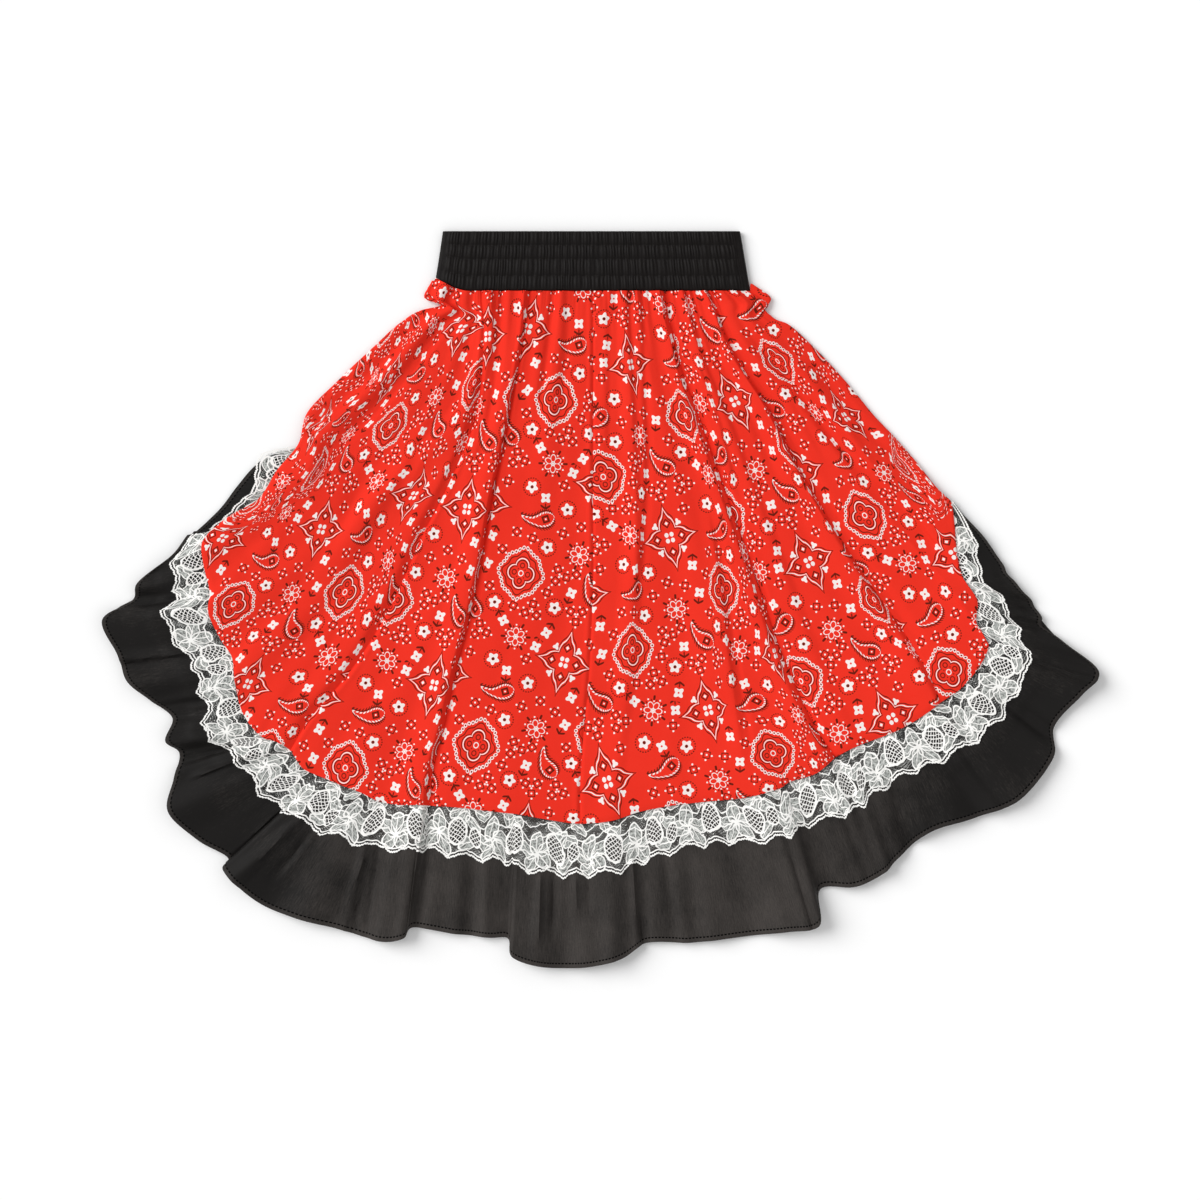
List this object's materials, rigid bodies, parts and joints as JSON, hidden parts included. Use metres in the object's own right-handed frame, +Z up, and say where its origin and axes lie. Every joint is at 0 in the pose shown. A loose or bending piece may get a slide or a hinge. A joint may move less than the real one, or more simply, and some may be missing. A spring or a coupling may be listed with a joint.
{
  "type": "gored skirt",
  "caption": "Full gored skirt laid flat, with a shirred elastic waistband, a scalloped lace edging over the hem and a gathered ruffle, its left hem turned forward at the side.",
  "frame": {"origin": "middle of the laid-out skirt's outline, on the surface it lies on", "axes": "+Y towards the waist, +X to the right as seen from above, +Z up out of the front"},
  "size_m": [0.9932, 0.7352, 0.0187],
  "materials": {
    "print_cotton": "matt printed cotton",
    "black_broadcloth": "plain weave with a soft sheen",
    "black_satin": "shirred satin",
    "white_lace": "corded net lace"
  },
  "bodies": {
    "root": {"waistband": "black_satin", "gore_front_1": "print_cotton", "gore_front_2": "print_cotton", "gore_front_3": "print_cotton", "gore_front_4": "print_cotton", "gore_front_5": "print_cotton", "gore_front_6": "print_cotton", "gore_back_1": "print_cotton", "gore_back_2": "print_cotton", "gore_back_3": "print_cotton", "gore_back_4": "print_cotton", "gore_back_5": "print_cotton", "gore_back_6": "print_cotton", "ruffle_front_left": "black_broadcloth", "ruffle_front_right": "black_broadcloth", "ruffle_back_left": "black_broadcloth", "ruffle_back_right": "black_broadcloth", "ruffle_turned": "black_broadcloth", "lace_front_left": "white_lace", "lace_front_right": "white_lace", "lace_back_left": "white_lace", "lace_back_right": "white_lace", "lace_turned": "white_lace"}
  },
  "joints": []
}
